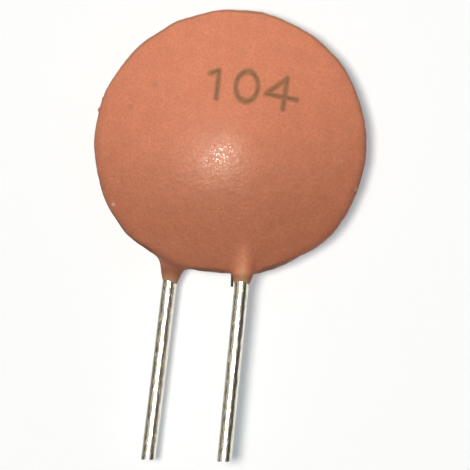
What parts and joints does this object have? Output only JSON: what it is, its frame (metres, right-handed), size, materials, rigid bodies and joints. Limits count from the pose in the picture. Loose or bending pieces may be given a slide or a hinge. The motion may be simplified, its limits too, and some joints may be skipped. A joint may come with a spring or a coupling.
{
  "type": "ceramic disc capacitor",
  "caption": "Round resin-dipped ceramic disc capacitor with a domed face and a pair of straight tinned wire leads for a circuit board.",
  "frame": {"origin": "bottom centre of the part's box, as it lies on its rear face", "axes": "+X across the leads, towards the front lead; +Y from the leads to the top of the disc; +Z out of the printed front face"},
  "size_m": [0.0094, 0.0158, 0.0033],
  "materials": {
    "resin": "satin",
    "fired_ceramic": "matte",
    "fired_silver": "matte",
    "solder": "satin",
    "tinned_wire": "gloss"
  },
  "bodies": {
    "root": {"resin_coating": "resin", "ceramic_disc": "fired_ceramic", "front_electrode": "fired_silver", "rear_electrode": "fired_silver", "front_solder": "solder", "rear_solder": "solder", "front_lead": "tinned_wire", "rear_lead": "tinned_wire"}
  },
  "joints": []
}
